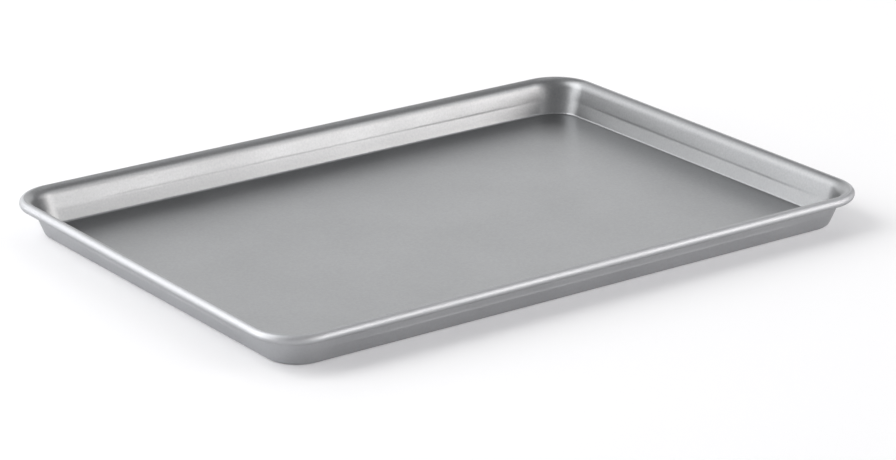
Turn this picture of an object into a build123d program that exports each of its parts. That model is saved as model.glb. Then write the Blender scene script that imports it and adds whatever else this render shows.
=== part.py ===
from build123d import *
import math
import os

# Jelly roll pan: a shallow oblong baking tray drawn from one steel sheet, with its edge rolled
# round a stiffening wire. Millimetres, Z up, origin under the middle of the flat base.
# An inset is the distance in from the outermost line of the rolled edge, seen from above.

# Overall sizes
length = 457.2  # along X, over the rolled edge
width = 325.0  # along Y, over the rolled edge
height = 24.1  # base to top of rim
sheet = 0.8  # thickness of the steel sheet

# Rolled edge and the wire in it
bead_radius = 3.25
bead_corner_radius = 27.5  # of the bead's centre line, in plan
curl_end = -30.0  # degrees above level at which the curl ends beside the wall
wire_radius = 2.37
wire_gap = 1.0  # between the wire's two ends
hidden_sides = 8  # flats that stand for the round of the wire and of the bore it lies in

# Lip, where the sheet leaves the bead sloping inwards and turns down into the wall
lip_start = 60.0  # degrees above level, seen from the bead's centre
lip_flat = 0.2  # straight run between the bead and the turn
lip_radius = 8.8  # upper face of the turn

# Sloping wall, with a narrow crease at which it stands steeper
upper_draft = 16.0  # degrees from upright
crease_top = 10.8
crease_draft = 6.0
crease_bottom = 9.6
lower_draft = 21.2
corner_shrink = 0.38  # loss of corner radius for each millimetre of inset past the lip

# Bend between wall and base, on the underside of the sheet
base_bend_radius = 2.4


def run(draft, rise):
    """Sideways run of a sloping wall over a rise."""
    return rise * math.tan(math.radians(draft))


def lip_line(depth):
    """Inset and height of the lip's sharp corner and of its edge at the bead, on one face.

    Depth is how far the face lies below the upper face of the sheet.
    """
    start = math.radians(lip_start)
    reach = bead_radius - depth
    edge = (bead_radius + reach * math.cos(start), height - bead_radius + reach * math.sin(start))
    half_turn = (start - math.radians(upper_draft)) / 2
    straight = lip_flat + (lip_radius - depth) * math.tan(half_turn)
    corner = (edge[0] + straight * math.sin(start), edge[1] - straight * math.cos(start))
    return [corner, edge]


def face_line(depth, level_base):
    """Inset and height of each bend of one face of the sheet, from the base up to the bead."""
    inset_top, level_top = lip_line(depth)[0]
    inset_crease_top = inset_top + run(upper_draft, level_top - crease_top)
    inset_crease_bottom = inset_crease_top + run(crease_draft, crease_top - crease_bottom)
    inset_base = inset_crease_bottom + run(lower_draft, crease_bottom - level_base)
    wall = [
        (inset_base, level_base),
        (inset_crease_bottom, crease_bottom),
        (inset_crease_top, crease_top),
    ]
    return wall + lip_line(depth)


def outline(inset, level):
    """Plan outline of the pan at one inset, laid at one height."""
    wall_start = lip_line(0)[0][0]
    lip_corner_radius = bead_corner_radius + bead_radius - min(inset, wall_start)
    radius = lip_corner_radius - corner_shrink * max(0, inset - wall_start)
    return Pos(0, 0, level) * RectangleRounded(length - 2 * inset, width - 2 * inset, radius)


def edges_at(body, level):
    """Edges that run round the body at one height."""
    near = 0.01
    return body.edges().filter_by_position(Axis.Z, level - near, level + near)


def tub(line, lip_bend_radius, foot_bend_radius):
    """Solid that fills one face of the sheet, with the lip's turn and the bend round its base."""
    body = loft([outline(inset, level) for inset, level in line], ruled=True)
    level_base = line[0][1]
    level_lip = line[3][1]
    body = fillet(edges_at(body, level_lip), lip_bend_radius)
    return fillet(edges_at(body, level_base), foot_bend_radius)


def flat_sided(radius):
    """Section of the wire or of its bore, with one flat level with the sheet where the lip starts."""
    turn = lip_start - 180 / hidden_sides
    return RegularPolygon(radius, hidden_sides, major_radius=False, rotation=turn)


def section_plane(path):
    """Plane across the start of a path that runs anticlockwise, with x inwards and y up."""
    inward = Vector(0, 0, 1).cross(path % 0)
    return Plane(origin=path @ 0, x_dir=inward, z_dir=path % 0)


def rolled_bead():
    """Curl of the sheet from the lip over the top, outwards, under and back up beside the wall."""
    reach = 2 * bead_radius
    open_side = [(0, 0)]
    for angle in (curl_end, 0, lip_start):
        bearing = math.radians(angle)
        open_side.append((reach * math.cos(bearing), reach * math.sin(bearing)))
    curl = Circle(bead_radius) - flat_sided(bead_radius - sheet)
    curl -= Polygon(*open_side, align=None)
    path = outline(bead_radius, height - bead_radius).wire()
    return sweep(section_plane(path) * curl, path)


def pan_shell():
    """The drawn sheet in one piece: base, bend, creased wall, lip and rolled bead."""
    inside = tub(face_line(0, sheet), lip_radius, base_bend_radius - sheet)
    # The outer solid also follows the sheet's edge at the bead, up to its upper face
    outer_line = face_line(sheet, 0) + [lip_line(0)[1]]
    outside = tub(outer_line, lip_radius - sheet, base_bend_radius)
    return outside - inside + rolled_bead()


def rim_wire():
    """Stiffening wire inside the bead, one bar whose ends meet at the middle of the back."""
    x = length / 2 - bead_radius
    y = width / 2 - bead_radius
    corners = [(-wire_gap / 2, y), (-x, y), (-x, -y), (x, -y), (x, y), (wire_gap / 2, y)]
    level = Pos(0, 0, height - bead_radius)
    path = level * FilletPolyline(*corners, radius=bead_corner_radius)
    return sweep(section_plane(path) * flat_sided(wire_radius), path)


os.makedirs("parts", exist_ok=True)
export_step(pan_shell(), "parts/pan_shell.step")
export_step(rim_wire(), "parts/rim_wire.step")
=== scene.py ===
import math

import bmesh
import bpy
from mathutils import Matrix, Vector


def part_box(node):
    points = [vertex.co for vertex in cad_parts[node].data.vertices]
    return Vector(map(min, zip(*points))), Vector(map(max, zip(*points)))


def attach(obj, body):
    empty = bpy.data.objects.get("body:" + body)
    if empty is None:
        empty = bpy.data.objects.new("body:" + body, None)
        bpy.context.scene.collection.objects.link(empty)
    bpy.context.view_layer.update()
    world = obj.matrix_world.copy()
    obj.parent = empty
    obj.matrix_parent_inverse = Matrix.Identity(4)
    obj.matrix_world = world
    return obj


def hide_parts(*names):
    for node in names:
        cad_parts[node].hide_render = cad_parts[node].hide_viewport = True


# Jelly roll pan, drawn from one steel sheet with its edge rolled round a wire.
# Metres, Z up, origin under the middle of the flat base. The camera stands towards -X and -Y.

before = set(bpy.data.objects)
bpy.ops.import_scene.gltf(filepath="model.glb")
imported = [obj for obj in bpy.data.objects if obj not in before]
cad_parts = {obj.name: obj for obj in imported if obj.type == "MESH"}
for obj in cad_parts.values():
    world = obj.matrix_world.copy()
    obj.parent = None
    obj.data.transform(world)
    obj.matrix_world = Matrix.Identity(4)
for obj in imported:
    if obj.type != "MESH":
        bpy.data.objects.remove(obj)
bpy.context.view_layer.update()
mm = 0.001
print("frame loaded:", ", ".join(sorted(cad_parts)))


def linearColor(hexColor):
    # sRGB hex to the linear colour that the shaders use
    channels = [int(hexColor[i:i + 2], 16) / 255 for i in (1, 3, 5)]
    linear = [c / 12.92 if c <= 0.04045 else ((c + 0.055) / 1.055) ** 2.4 for c in channels]
    return (*linear, 1)


def addNode(tree, kind, settings=None, links=None):
    # settings: node properties by name, or input values by socket name or number
    # links: input name or number -> output socket
    node = tree.nodes.new(kind)
    for key, value in (settings or {}).items():
        if isinstance(key, str) and hasattr(node, key):
            setattr(node, key, value)
        else:
            node.inputs[key].default_value = value
    for key, source in (links or {}).items():
        tree.links.new(source, node.inputs[key])
    return node


def newMaterial(name):
    material = bpy.data.materials.new(name)
    material.use_nodes = True
    material.node_tree.nodes.clear()
    return material, material.node_tree


# Section of the sheet, in mm. An inset is the distance in from the outermost line of the rolled
# edge
pan = {
    "sheet": 0.8,
    "beadRadius": 3.25,
    "beadCornerRadius": 27.5,  # centre line of the bead, in plan
    "cornerShrink": 0.65,  # loss of corner radius for each mm of inset, below the bead
    "lipStart": 60.0,  # degrees above level at which the lip leaves the bead
    "wallTop": 7.468,  # inset at which the line of the wall's inside would meet the top
    "upperDraft": 16.0,  # degrees from upright
    "creaseTop": 10.8,
    "creaseDraft": 8.0,
    "fadedDraft": 18.0,  # draft of the crease where it has died out
    "creaseBottom": 9.6,
    "lowerDraft": 21.2,
    "creaseRound": 0.58,  # reach of the rounding of both bends of the crease
    "creaseFade": 55.0,  # how far from a corner the crease dies out
    "baseBendRadius": 2.4,
    "flatMargin": 6.0,  # floor that is kept level between its bend and the one large face
    "coatEdge": 95.0,  # degrees at which the inside coat ends, just past the crown of the bead
    "curlEnd": 330.0,  # degrees at which the curl ends beside the wall
    "crownSteps": 5,  # spans of the section from the lip to the edge of the inside coat
    "curlSteps": 44,  # spans of the curl from there on
    "bendSteps": 12,  # spans of each other arc of the section
    "softSteps": 4,  # spans of each bend of the crease
    "cornerSegments": 32,
    "sideSpacing": 8.0,
}

lowCorner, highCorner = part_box("pan_shell")
panLength = (highCorner.x - lowCorner.x) / mm
panWidth = (highCorner.y - lowCorner.y) / mm
panHeight = highCorner.z / mm
beadCenter = Vector((pan["beadRadius"], panHeight - pan["beadRadius"]))


def run(draft, rise):
    return rise * math.tan(math.radians(draft))


def arcPoints(center, radius, startAngle, endAngle, count):
    # from startAngle to endAngle, in degrees, both ends taken in
    points = []
    for i in range(count + 1):
        angle = math.radians(startAngle + (endAngle - startAngle) * i / count)
        points.append((center[0] + radius * math.cos(angle), center[1] + radius * math.sin(angle)))
    return points


def roundedPath(corners):
    # corners: (inset, level, radius, kind). An "arc" leaves both lines smoothly; a "soft" bend is a
    # curve that starts and ends its radius away from the corner, even where the bend flattens out
    points = []
    for i, (inset, level, radius, kind) in enumerate(corners):
        here = Vector((inset, level))
        if kind == "end":  # only gives a direction
            continue
        if kind == "sharp":
            points.append((inset, level))
            continue
        before = (Vector(corners[i - 1][:2]) - here).normalized()
        after = (Vector(corners[i + 1][:2]) - here).normalized()
        if kind == "soft":
            for j in range(pan["softSteps"] + 1):
                share = j / pan["softSteps"]
                point = here + before * radius * (1 - share) ** 2 + after * radius * share ** 2
                points.append((point.x, point.y))
            continue
        halfAngle = before.angle(after) / 2
        reach = radius / math.tan(halfAngle)
        center = here + (before + after).normalized() * (radius / math.sin(halfAngle))
        start = here + before * reach - center
        end = here + after * reach - center
        startAngle = math.degrees(math.atan2(start.y, start.x))
        turn = math.degrees(math.atan2(start.x * end.y - start.y * end.x, start.dot(end)))
        points += arcPoints(center, radius, startAngle, startAngle + turn, pan["bendSteps"])
    return points


def wallLine(insetTop, levelTop, levelBase, crease):
    # bends of one face of the wall from the top down; crease runs from 0, faded out, to 1
    sharpBottom = insetTop + run(pan["upperDraft"], levelTop - pan["creaseTop"])
    sharpBase = sharpBottom + run(pan["creaseDraft"], pan["creaseTop"] - pan["creaseBottom"])
    sharpBase += run(pan["lowerDraft"], pan["creaseBottom"] - levelBase)
    draft = pan["fadedDraft"] + (pan["creaseDraft"] - pan["fadedDraft"]) * crease
    insetBottom = sharpBottom + run(draft, pan["creaseTop"] - pan["creaseBottom"])
    bends = [(sharpBottom, pan["creaseTop"], pan["creaseRound"], "soft")]
    bends += [(insetBottom, pan["creaseBottom"], pan["creaseRound"], "soft")]
    return bends, sharpBase


def sheetSection(crease):
    # two open paths of (inset, level) in mm. The upper face runs from the floor up the inside and
    # over the bead's crown; the under face goes on round the curl, back through its bore and down
    # the outside to the underside
    sheet = pan["sheet"]
    beadRadius = pan["beadRadius"]
    slant = math.radians(pan["upperDraft"])
    insetInside = pan["wallTop"]
    insetOutside = insetInside - sheet / math.cos(slant) + run(pan["upperDraft"], sheet)
    bendsInside, baseInside = wallLine(insetInside, panHeight, sheet, crease)
    bendsOutside, baseOutside = wallLine(insetOutside, panHeight - sheet, 0, crease)
    flatStart = baseOutside + pan["flatMargin"]

    # The lip leaves the bead at an angle and turns into the wall at the radius that meets both
    start = math.radians(pan["lipStart"])
    wallOffset = (insetInside - beadCenter.x) * math.cos(slant) + beadRadius * math.sin(slant)
    turn = math.cos(start - slant)
    lipRadius = (wallOffset - beadRadius * turn) / (1 - turn)
    towardsBead = Vector((math.cos(start), math.sin(start)))
    lipCenter = beadCenter - towardsBead * (lipRadius - beadRadius)
    lipTurn = (pan["upperDraft"], pan["lipStart"], pan["bendSteps"])
    lipTurnBack = (pan["lipStart"], pan["upperDraft"], pan["bendSteps"])

    wall = [(flatStart, sheet, 0, "sharp")]
    wall += [(baseInside, sheet, pan["baseBendRadius"] - sheet, "arc")]
    wall += reversed(bendsInside)
    wall += [(insetInside, panHeight, 0, "end")]
    upper = roundedPath(wall)
    upper += arcPoints(lipCenter, lipRadius, *lipTurn)
    crown = arcPoints(beadCenter, beadRadius, pan["lipStart"], pan["coatEdge"], pan["crownSteps"])
    upper += crown[1:]

    boreTurn = (pan["curlEnd"], pan["lipStart"], pan["curlSteps"])
    curl = arcPoints(beadCenter, beadRadius, pan["coatEdge"], pan["curlEnd"], pan["curlSteps"])
    bore = arcPoints(beadCenter, beadRadius - sheet, *boreTurn)
    under = curl[1:] + bore + arcPoints(lipCenter, lipRadius - sheet, *lipTurnBack)[1:]
    wall = [(insetOutside, panHeight - sheet, 0, "end")]
    wall += bendsOutside
    wall += [(baseOutside, 0, pan["baseBendRadius"], "arc"), (flatStart, 0, 0, "sharp")]
    under += roundedPath(wall)
    return upper, under


def cornerRadiusAt(inset):
    past = inset - pan["beadRadius"]
    return pan["beadCornerRadius"] - past * (pan["cornerShrink"] if past > 0 else 1)


def sideLength(corner):
    # straight side that follows a corner
    whole = panWidth if corner % 2 else panLength
    return whole - 2 * (pan["beadCornerRadius"] + pan["beadRadius"])


def rimStations():
    # places round the rim, anticlockwise: (corner number, angle in degrees, share of the way to the
    # next corner, distance from the nearest corner in mm)
    stations = []
    for corner in range(4):
        for i in range(pan["cornerSegments"] + 1):
            stations.append((corner, 90 * (corner + i / pan["cornerSegments"]), 0.0, 0.0))
        side = sideLength(corner)
        count = round(side / pan["sideSpacing"])
        for i in range(1, count):
            share = i / count
            stations.append((corner, 90 * (corner + 1), share, side * min(share, 1 - share)))
    return stations


def rimPoint(station, inset):
    # plan position of a station on the outline at one inset
    corner, angle, share, _ = station
    radius = cornerRadiusAt(inset)
    spanX = panLength / 2 - inset - radius
    spanY = panWidth / 2 - inset - radius
    signs = [(1, 1), (-1, 1), (-1, -1), (1, -1)]
    centers = [Vector((spanX * x, spanY * y)) for x, y in signs]
    outward = Vector((math.cos(math.radians(angle)), math.sin(math.radians(angle))))
    point = centers[corner] + outward * radius
    if share:
        point = point.lerp(centers[(corner + 1) % 4] + outward * radius, share)
    return point


def smoothStep(value):
    value = min(1, max(0, value))
    return value * value * (3 - 2 * value)


def sweptMesh(stations, sectionAt, closed):
    # one ring of vertices for each station, a strip of quads between neighbours. The layer
    # sheetLines holds real distances for the patterns: round the rim in x and y, which run on a
    # circle so that no seam shows, and along the section in z
    mesh = bmesh.new()
    lines = mesh.verts.layers.float_vector.new("sheetLines")
    middles = [rimPoint(station, pan["beadRadius"]) for station in stations]
    travelled = [0.0]
    for i in range(1, len(middles)):
        travelled.append(travelled[-1] + (middles[i] - middles[i - 1]).length)
    total = travelled[-1] + (middles[0] - middles[-1]).length
    rings = []
    for station, distance in zip(stations, travelled):
        turn = 2 * math.pi * distance / total
        along = total / (2 * math.pi)
        ring = []
        across = 0.0
        last = None
        for inset, level in sectionAt(station):
            point = rimPoint(station, inset)
            vertex = mesh.verts.new((point.x * mm, point.y * mm, level * mm))
            if last:
                across += math.hypot(inset - last[0], level - last[1])
            last = (inset, level)
            vertex[lines] = Vector((math.cos(turn) * along, math.sin(turn) * along, across)) * mm
            ring.append(vertex)
        rings.append(ring)
    count = len(stations)
    for i in range(count if closed else count - 1):
        here, after = rings[i], rings[(i + 1) % count]
        for j in range(len(here) - 1):
            mesh.faces.new((here[j], here[j + 1], after[j + 1], after[j]))
    return mesh, rings


def finishPiece(mesh, name):
    bmesh.ops.recalc_face_normals(mesh, faces=mesh.faces)
    data = bpy.data.meshes.new(name)
    mesh.to_mesh(data)
    mesh.free()
    data.shade_smooth()
    piece = bpy.data.objects.new(name, data)
    bpy.context.scene.collection.objects.link(piece)
    return piece


def buildPanSheet():
    stations = rimStations()
    upperCount = len(sheetSection(1)[0])

    def sectionAt(station):
        upper, under = sheetSection(smoothStep(station[3] / pan["creaseFade"]))
        return upper + under

    mesh, rings = sweptMesh(stations, sectionAt, True)
    mesh.verts.index_update()
    for face in mesh.faces:
        # the inside coat ends just past the crown of the bead
        places = [vertex.index % len(rings[0]) for vertex in face.verts]
        face.material_index = 0 if max(places) < upperCount else 1
    mesh.faces.new([ring[0] for ring in rings]).material_index = 0
    mesh.faces.new([ring[-1] for ring in reversed(rings)]).material_index = 1
    piece = finishPiece(mesh, "panSheet")
    print("pan sheet:", len(piece.data.polygons), "faces")
    return piece


panSheet = buildPanSheet()
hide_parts("pan_shell")
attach(panSheet, "root")

# The wire that the edge is rolled round, in mm
wire = {
    "radius": 2.4,
    "gap": 1.0,  # between its two ends, at the middle of the back
    "sides": 24,
    "endBevel": 0.2,
    "mergeWithin": 0.0001,  # closes each ring, whose first and last points are the same place
}


def backStation(share):
    # place on the back, the side that follows corner 0
    return 0, 90, share, sideLength(0) * min(share, 1 - share)


def buildRimWire():
    stations = rimStations()
    back = [place for place in stations if place[0] == 0]
    rest = [place for place in stations if place[0] > 0]
    gapEnd = wire["gap"] / 2 / sideLength(0)  # as a share of the back, from its middle
    bevelEnd = gapEnd + wire["endBevel"] / sideLength(0)
    full = wire["radius"]
    small = full - wire["endBevel"]

    # each station with the radius of the wire there, from one end round to the other
    path = [(backStation(0.5 + gapEnd), small), (backStation(0.5 + bevelEnd), full)]
    path += [(place, full) for place in back if place[2] > 0.5 + bevelEnd]
    path += [(place, full) for place in rest]
    path += [(place, full) for place in back if place[2] < 0.5 - bevelEnd]
    path += [(backStation(0.5 - bevelEnd), full), (backStation(0.5 - gapEnd), small)]
    radii = dict(path)

    def sectionAt(station):
        return arcPoints(beadCenter, radii[station], 0, 360, wire["sides"])

    mesh, rings = sweptMesh([place for place, _ in path], sectionAt, False)
    mesh.faces.new(rings[0][:-1])
    mesh.faces.new(list(reversed(rings[-1][:-1])))
    bmesh.ops.remove_doubles(mesh, verts=mesh.verts, dist=wire["mergeWithin"] * mm)
    piece = finishPiece(mesh, "rimWire")
    print("rim wire:", len(piece.data.polygons), "faces")
    return piece


rimWire = buildRimWire()
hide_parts("rim_wire")
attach(rimWire, "root")

# Non-stick coat of the inside, sprayed and baked on: it lies smooth, so the walls mirror each other
# softly in the floor. Sizes and heights in mm
insideCoat = {
    "name": "sprayedNonStickCoat",
    "lightColor": "#a3a4a5",
    "darkColor": "#868789",
    "grainShare": 0.7,  # how much of the change in colour is grain, the rest is cloud
    "roughness": 0.38,
    "roughnessSpread": 0.03,
    "cloudSize": 60.0,
    "grainSize": 1.6,  # in the pan about 0.3, drawn coarser so that the picture can hold it
    "grainHeight": 0.020,
    "markHeight": 0.022,
    "markRoughness": 0.06,
}

# Baked enamel of the outside: thinner and rougher, so it spreads the light into broad soft bands
outsideCoat = {
    "name": "bakedOutsideEnamel",
    "lightColor": "#c9cacc",
    "darkColor": "#b4b5b8",
    "grainShare": 0.6,
    "roughness": 0.57,
    "roughnessSpread": 0.03,
    "cloudSize": 50.0,
    "grainSize": 1.6,
    "grainHeight": 0.020,
    "markHeight": 0.014,
    "markRoughness": 0.03,
}

# Marks that the die left on the walls as the sheet was drawn, all along the rim
drawMarks = {
    "spacing": 0.9,
    "length": 45.0,
    "fadeFrom": 1.5,  # height above the base at which they start to show
    "fadeTo": 4.0,
}


def drawMarkNodes(tree, spacing, length):
    # long thin streaks round the rim, 0 to 1
    lines = addNode(tree, "ShaderNodeAttribute", {"attribute_name": "sheetLines"})
    stretched = addNode(tree, "ShaderNodeVectorMath", {
        "operation": "MULTIPLY",
        1: (1 / (length * mm), 1 / (length * mm), 1 / (spacing * mm)),
    }, {0: lines.outputs["Vector"]})
    return addNode(tree, "ShaderNodeTexNoise", {"Scale": 1.0, "Detail": 2.0, "Roughness": 0.6}, {
        "Vector": stretched.outputs["Vector"],
    }).outputs["Fac"]


def coatMaterial(look):
    material, tree = newMaterial(look["name"])
    place = addNode(tree, "ShaderNodeTexCoord").outputs["Object"]

    # slow clouds from the spray gun, in colour and in roughness
    clouds = addNode(tree, "ShaderNodeTexNoise", {
        "Scale": 1 / (look["cloudSize"] * mm), "Detail": 3.0, "Roughness": 0.55,
    }, {"Vector": place})
    grain = addNode(tree, "ShaderNodeTexNoise", {
        "Scale": 1 / (look["grainSize"] * mm), "Detail": 3.0, "Roughness": 0.6,
    }, {"Vector": place})
    shade = addNode(tree, "ShaderNodeMix", {"data_type": "FLOAT", "Factor": look["grainShare"]}, {
        "A": clouds.outputs["Fac"], "B": grain.outputs["Fac"],
    })
    color = addNode(tree, "ShaderNodeMix", {
        "data_type": "RGBA",
        6: linearColor(look["darkColor"]),
        7: linearColor(look["lightColor"]),
    }, {"Factor": shade.outputs[0]})

    # draw marks only on the walls
    marks = drawMarkNodes(tree, drawMarks["spacing"], drawMarks["length"])
    height = addNode(tree, "ShaderNodeSeparateXYZ", links={"Vector": place})
    onWall = addNode(tree, "ShaderNodeMapRange", {
        "interpolation_type": "SMOOTHSTEP",
        "From Min": drawMarks["fadeFrom"] * mm, "From Max": drawMarks["fadeTo"] * mm,
    }, {"Value": height.outputs["Z"]})
    wallMarks = addNode(tree, "ShaderNodeMath", {"operation": "MULTIPLY"}, {
        0: marks, 1: onWall.outputs["Result"],
    })

    # most of the noise lies between 0.3 and 0.7
    cloudRoughness = addNode(tree, "ShaderNodeMapRange", {
        "From Min": 0.3, "From Max": 0.7,
        "To Min": look["roughness"] - look["roughnessSpread"] - look["markRoughness"] / 2,
        "To Max": look["roughness"] + look["roughnessSpread"] - look["markRoughness"] / 2,
    }, {"Value": clouds.outputs["Fac"]})
    roughness = addNode(tree, "ShaderNodeMath", {
        "operation": "MULTIPLY_ADD", 1: look["markRoughness"],
    }, {0: wallMarks.outputs["Value"], 2: cloudRoughness.outputs["Result"]})

    grainBump = addNode(tree, "ShaderNodeBump", {"Distance": look["grainHeight"] * mm}, {
        "Height": grain.outputs["Fac"],
    })
    markBump = addNode(tree, "ShaderNodeBump", {"Distance": look["markHeight"] * mm}, {
        "Height": wallMarks.outputs["Value"], "Normal": grainBump.outputs["Normal"],
    })
    surface = addNode(tree, "ShaderNodeBsdfPrincipled", {"Metallic": 1.0}, {
        "Base Color": color.outputs[2],
        "Roughness": roughness.outputs["Value"],
        "Normal": markBump.outputs["Normal"],
    })
    addNode(tree, "ShaderNodeOutputMaterial", links={"Surface": surface.outputs["BSDF"]})
    return material


panSheet.data.materials.append(coatMaterial(insideCoat))
panSheet.data.materials.append(coatMaterial(outsideCoat))

# Bare steel wire pulled through a die, which leaves it bright with fine lines along it
wireSteel = {
    "lightColor": "#a3a29e",
    "darkColor": "#85847f",
    "roughness": 0.3,
    "roughnessSpread": 0.08,
    "lineSpacing": 0.5,
    "lineLength": 40.0,
    "lineHeight": 0.006,
}


def drawnWireMaterial():
    material, tree = newMaterial("drawnSteelWire")
    lines = drawMarkNodes(tree, wireSteel["lineSpacing"], wireSteel["lineLength"])
    color = addNode(tree, "ShaderNodeMix", {
        "data_type": "RGBA",
        6: linearColor(wireSteel["darkColor"]),
        7: linearColor(wireSteel["lightColor"]),
    }, {"Factor": lines})
    roughness = addNode(tree, "ShaderNodeMapRange", {
        "To Min": wireSteel["roughness"] - wireSteel["roughnessSpread"],
        "To Max": wireSteel["roughness"] + wireSteel["roughnessSpread"],
    }, {"Value": lines})
    bump = addNode(tree, "ShaderNodeBump", {"Distance": wireSteel["lineHeight"] * mm}, {
        "Height": lines,
    })
    surface = addNode(tree, "ShaderNodeBsdfPrincipled", {"Metallic": 1.0}, {
        "Base Color": color.outputs[2],
        "Roughness": roughness.outputs["Result"],
        "Normal": bump.outputs["Normal"],
    })
    addNode(tree, "ShaderNodeOutputMaterial", links={"Surface": surface.outputs["BSDF"]})
    return material


rimWire.data.materials.append(drawnWireMaterial())
print("materials made:", len(bpy.data.materials))

# Floor of matt white paper, on which only the soft shadow of the pan shows
floor = {
    "size": 8.0,
    "level": -0.0002,  # just below the pan, so that the two faces don't touch
    "color": "#e3e3e4",
    "seenColor": "#ffffff",  # what the camera sees of it, to leave a clean white background
    "veil": 0.18,
    "veilColor": "#faf9ff",
}


def buildFloor():
    mesh = bmesh.new()
    bmesh.ops.create_grid(mesh, x_segments=2, y_segments=2, size=floor["size"] / 2)
    piece = finishPiece(mesh, "studioFloor")
    piece.location.z = floor["level"]
    material, tree = newMaterial("matteWhitePaper")
    rays = addNode(tree, "ShaderNodeLightPath")
    color = addNode(tree, "ShaderNodeMix", {
        "data_type": "RGBA",
        6: linearColor(floor["color"]),
        7: linearColor(floor["seenColor"]),
    }, {"Factor": rays.outputs["Is Camera Ray"]})
    paper = addNode(tree, "ShaderNodeBsdfDiffuse", links={"Color": color.outputs[2]})
    # a little plain white over it, for the camera alone, keeps the shadow light and soft
    veil = addNode(tree, "ShaderNodeEmission", {
        "Color": linearColor(floor["veilColor"]), "Strength": 1.0,
    })
    share = addNode(tree, "ShaderNodeMath", {"operation": "MULTIPLY", 1: floor["veil"]}, {
        0: rays.outputs["Is Camera Ray"],
    })
    surface = addNode(tree, "ShaderNodeMixShader", links={
        0: share.outputs["Value"], 1: paper.outputs["BSDF"], 2: veil.outputs["Emission"],
    })
    addNode(tree, "ShaderNodeOutputMaterial", links={"Surface": surface.outputs["Shader"]})
    piece.data.materials.append(material)
    return piece


studioFloor = buildFloor()

# Camera, fitted to the outlines of the pan
camera = {
    "azimuth": -36.039,
    "elevation": 19.735,
    "roll": 0.036,
    "distance": 2.149864,
    "aside": 0.005922,
    "up": -0.002029,
    "focalPixels": 3335.537,
    "imageWidth": 896,
    "sensorWidth": 36,  # mm
    "farLimit": 50,
}


def bearing(azimuth, elevation):
    # unit vector from the pan; azimuth 0 is -Y and 90 is +X
    a, e = math.radians(azimuth), math.radians(elevation)
    return Vector((math.sin(a) * math.cos(e), -math.cos(a) * math.cos(e), math.sin(e)))


def addCamera():
    roll = math.radians(camera["roll"])
    back = bearing(camera["azimuth"], camera["elevation"])
    level = (-back).cross(Vector((0, 0, 1))).normalized()
    upright = level.cross(-back)
    right = level * math.cos(roll) + upright * math.sin(roll)
    up = upright * math.cos(roll) - level * math.sin(roll)
    data = bpy.data.cameras.new("photoCamera")
    data.sensor_width = camera["sensorWidth"]
    data.lens = camera["focalPixels"] / camera["imageWidth"] * data.sensor_width
    data.clip_end = camera["farLimit"]
    item = bpy.data.objects.new("photoCamera", data)
    turn = Matrix((right, up, back)).transposed().to_4x4()
    place = back * camera["distance"] + right * camera["aside"] + up * camera["up"]
    item.matrix_world = Matrix.Translation(place) @ turn
    bpy.context.scene.collection.objects.link(item)
    bpy.context.scene.camera = item


addCamera()

# Soft studio light: large panels round the pan, all turned towards it. Level is how bright a panel
# looks from the pan, where 1 is white
lamps = {
    "backPanel": {"azimuth": 156, "elevation": 18, "width": 4.2, "height": 1.7, "level": 0.98},
    "backHigh": {"azimuth": 120, "elevation": 60, "width": 1.5, "height": 0.8, "level": 1.1},
    "rightKey": {"azimuth": 48, "elevation": 16, "width": 1.3, "height": 0.55, "level": 4.5,
                 "color": "#fffaf7"},
    "rightFill": {"azimuth": 72, "elevation": 23, "width": 1.3, "height": 1.2, "level": 0.7},
    "frontStrip": {"azimuth": 24, "elevation": 5, "width": 2.1, "height": 0.45, "level": 7.2,
                   "color": "#fffdfb"},
    "frontMiddle": {"azimuth": 40, "elevation": 33, "width": 1.2, "height": 0.7, "level": 2.4},
    "leftTall": {"azimuth": 240, "elevation": 39, "width": 1.7, "height": 2.7, "level": 3.1},
    "leftHigh": {"azimuth": 212, "elevation": 46, "width": 2.4, "height": 0.9, "level": 1.0},
    "leftBack": {"azimuth": 205, "elevation": 28, "width": 1.2, "height": 0.7, "level": 1.5},
    "leftLow": {"azimuth": 216, "elevation": 3, "width": 1.2, "height": 0.2, "level": 2.6},
    "leftStrip": {"azimuth": 252, "elevation": 5, "width": 2.1, "height": 0.45, "level": 6.8},
}
lampDistance = 2.6
worldColor = "#a1a1a2"  # what the dark parts of the room send back


def addLamps():
    for name, lamp in lamps.items():
        away = bearing(lamp["azimuth"], lamp["elevation"])
        data = bpy.data.lights.new(name, "AREA")
        data.shape = "RECTANGLE"
        data.size = lamp["width"]
        data.size_y = lamp["height"]
        data.color = linearColor(lamp.get("color", "#ffffff"))[:3]
        data.energy = lamp["level"] * lamp["width"] * lamp["height"] * math.pi
        item = bpy.data.objects.new(name, data)
        item.location = away * lampDistance
        item.rotation_euler = (-away).to_track_quat("-Z", "Y").to_euler()
        bpy.context.scene.collection.objects.link(item)


addLamps()
world = bpy.data.worlds.new("studioWorld")
world.use_nodes = True
world.node_tree.nodes["Background"].inputs["Color"].default_value = linearColor(worldColor)
bpy.context.scene.world = world
bpy.context.scene.view_settings.view_transform = "Standard"
print("camera, lamps and world set")
